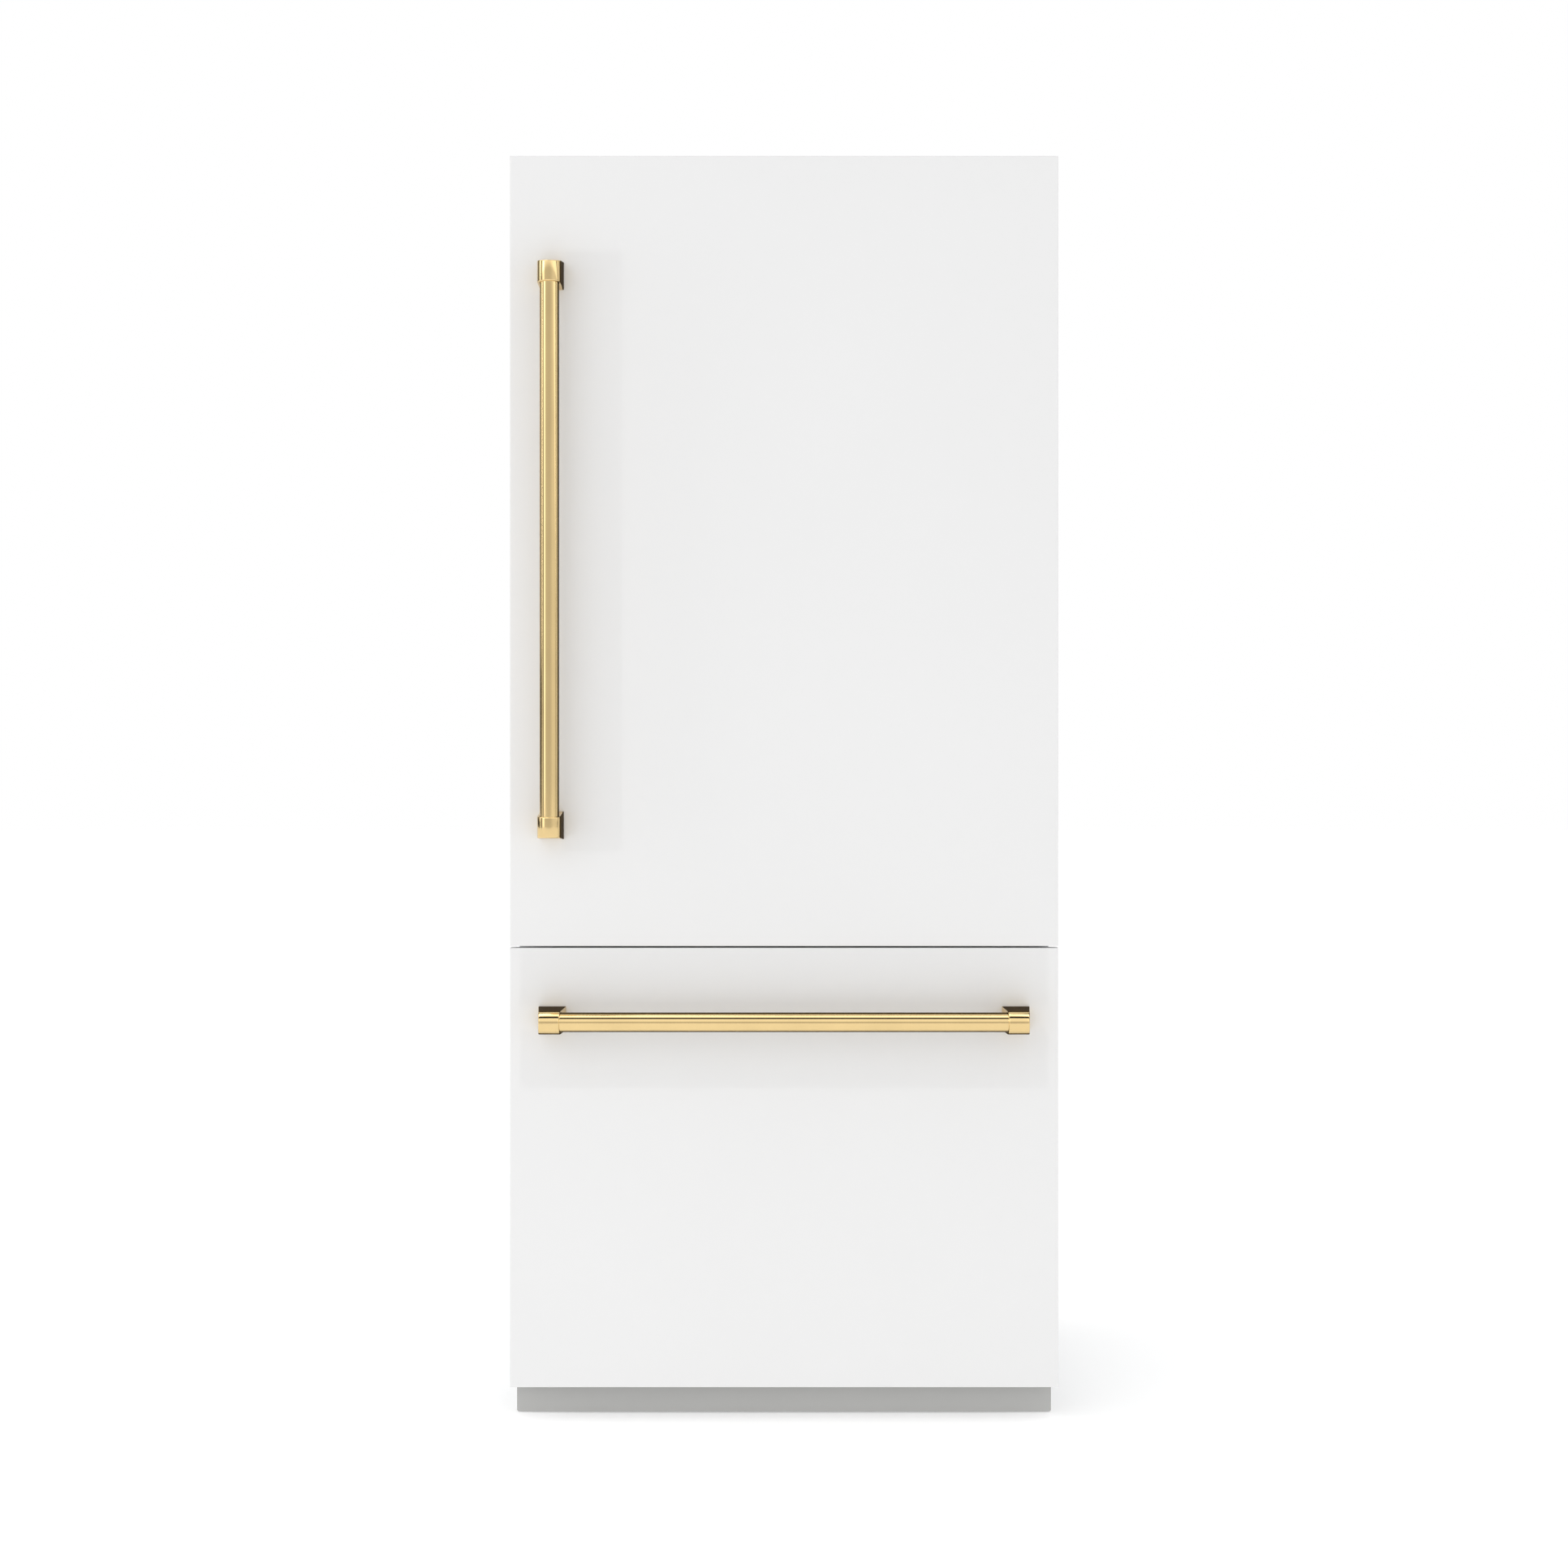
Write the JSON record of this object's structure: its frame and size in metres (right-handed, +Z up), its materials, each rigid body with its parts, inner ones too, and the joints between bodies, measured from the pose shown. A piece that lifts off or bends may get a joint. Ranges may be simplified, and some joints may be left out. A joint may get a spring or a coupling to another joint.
{
  "type": "bottom-freezer refrigerator",
  "caption": "Tall built-in refrigerator with a full-width hinged door over a freezer drawer, white panels, brass tube handles and fitted cold compartments.",
  "frame": {"origin": "on the floor, at the middle of the width and of the depth over the handles", "axes": "+Z up, -Y out of the front, +X to the right as seen from the front"},
  "size_m": [0.908, 0.7064, 2.0937],
  "materials": {
    "white_paint": "semi-matt white paint",
    "polished_brass": "polished",
    "kick_grey": "satin grey",
    "cabinet_grey": "satin grey",
    "galvanised_steel": "zinc plated",
    "core_grey": "satin grey skin over foam",
    "foam": "cut foam",
    "white_plastic": "satin",
    "clear_plastic": "clear",
    "shelf_glass": "clear float glass",
    "seal_rubber": "matt",
    "black_enamel": "satin black",
    "black_plastic": "matt",
    "copper": "drawn tube",
    "aluminium": "mill finish"
  },
  "bodies": {
    "cabinet": {"toe_kick": "kick_grey", "cabinet_wrapper": "cabinet_grey", "face_frame": "cabinet_grey", "back_panel": "galvanised_steel", "base_tray": "galvanised_steel", "bay_cover": "galvanised_steel", "hinge_top": "galvanised_steel", "hinge_center": "galvanised_steel", "slide_outer_left": "galvanised_steel", "slide_outer_right": "galvanised_steel", "cabinet_foam": "foam", "fridge_liner": "white_plastic", "freezer_liner": "white_plastic", "shelf_frame_1": "white_plastic", "shelf_frame_2": "white_plastic", "shelf_frame_3": "white_plastic", "air_duct_cover": "white_plastic", "control_housing": "white_plastic", "evaporator_cover": "white_plastic", "shelf_glass_1": "shelf_glass", "shelf_glass_2": "shelf_glass", "shelf_glass_3": "shelf_glass", "crisper_cover": "shelf_glass", "compressor": "black_enamel", "condenser_coil": "copper", "evaporator_coil": "aluminium"},
    "door": {"door_panel": "white_paint", "door_core": "core_grey", "door_liner": "white_plastic", "door_gasket": "seal_rubber", "door_handle_bar": "polished_brass", "door_handle_bracket_top": "polished_brass", "door_handle_bracket_bottom": "polished_brass", "dairy_bin": "clear_plastic", "door_bin_upper": "clear_plastic", "door_bin_lower": "clear_plastic", "bottle_bin": "clear_plastic"},
    "freezer_drawer": {"drawer_panel": "white_paint", "drawer_core": "core_grey", "drawer_gasket": "seal_rubber", "drawer_handle_bar": "polished_brass", "drawer_handle_bracket_left": "polished_brass", "drawer_handle_bracket_right": "polished_brass", "freezer_basket": "clear_plastic", "slide_inner_left": "galvanised_steel", "slide_inner_right": "galvanised_steel"},
    "slide_middles": {"slide_middle_left": "galvanised_steel", "slide_middle_right": "galvanised_steel"},
    "dairy_lid": {"dairy_lid": "clear_plastic"},
    "crisper_left": {"crisper_left": "clear_plastic"},
    "crisper_right": {"crisper_right": "clear_plastic"},
    "freezer_tray": {"freezer_tray": "clear_plastic"},
    "foot_left": {"foot_left": "galvanised_steel"},
    "foot_right": {"foot_right": "galvanised_steel"},
    "roller_left": {"roller_left": "black_plastic"},
    "roller_right": {"roller_right": "black_plastic"},
    "condenser_fan": {"condenser_fan": "black_plastic"},
    "evaporator_fan": {"evaporator_fan": "black_plastic"},
    "button_fridge": {"button_fridge": "black_plastic"},
    "button_freezer": {"button_freezer": "black_plastic"}
  },
  "joints": [
    {"name": "door_swing", "type": "hinge", "parent": "cabinet", "child": "door", "pos_m": [0.43, -0.24875, 1.4397], "axis": [0, 0, 1], "range_deg": [0, 105]},
    {"name": "drawer_slide", "type": "slide", "parent": "cabinet", "child": "freezer_drawer", "axis": [0, -1, 0], "range_m": [0, 0.38]},
    {"name": "slide_middle_travel", "type": "slide", "parent": "cabinet", "child": "slide_middles", "axis": [0, -1, 0], "range_m": [0, 0.19]},
    {"name": "freezer_tray_slide", "type": "slide", "parent": "freezer_drawer", "child": "freezer_tray", "axis": [0, 1, 0], "range_m": [0, 0.11]},
    {"name": "crisper_left_slide", "type": "slide", "parent": "cabinet", "child": "crisper_left", "axis": [0, -1, 0], "range_m": [0, 0.11]},
    {"name": "crisper_right_slide", "type": "slide", "parent": "cabinet", "child": "crisper_right", "axis": [0, -1, 0], "range_m": [0, 0.11]},
    {"name": "dairy_lid_flip", "type": "hinge", "parent": "door", "child": "dairy_lid", "pos_m": [0, -0.20945, 1.83945], "axis": [1, 0, 0], "range_deg": [0, 90]},
    {"name": "foot_left_height", "type": "slide", "parent": "cabinet", "child": "foot_left", "axis": [0, 0, -1], "range_m": [0, 0.02]},
    {"name": "foot_right_height", "type": "slide", "parent": "cabinet", "child": "foot_right", "axis": [0, 0, -1], "range_m": [0, 0.02]},
    {"name": "roller_left_spin", "type": "hinge", "parent": "cabinet", "child": "roller_left", "pos_m": [-0.38, 0.29825, 0.018], "axis": [1, 0, 0], "continuous": true},
    {"name": "roller_right_spin", "type": "hinge", "parent": "cabinet", "child": "roller_right", "pos_m": [0.38, 0.29825, 0.018], "axis": [1, 0, 0], "continuous": true},
    {"name": "condenser_fan_spin", "type": "hinge", "parent": "cabinet", "child": "condenser_fan", "pos_m": [0.075, 0.26575, 0.1637], "axis": [1, 0, 0], "continuous": true},
    {"name": "evaporator_fan_spin", "type": "hinge", "parent": "cabinet", "child": "evaporator_fan", "pos_m": [0, 0.21025, 0.6487], "axis": [0, 1, 0], "continuous": true},
    {"name": "button_fridge_press", "type": "slide", "parent": "cabinet", "child": "button_fridge", "axis": [0, 1, 0], "range_m": [0, 0.0015], "stiffness_N_per_m": 1200},
    {"name": "button_freezer_press", "type": "slide", "parent": "cabinet", "child": "button_freezer", "axis": [0, 1, 0], "range_m": [0, 0.0015], "stiffness_N_per_m": 1200}
  ],
  "couplings": [
    {"joint": "slide_middle_travel", "follows": "drawer_slide", "ratio": 0.5}
  ]
}
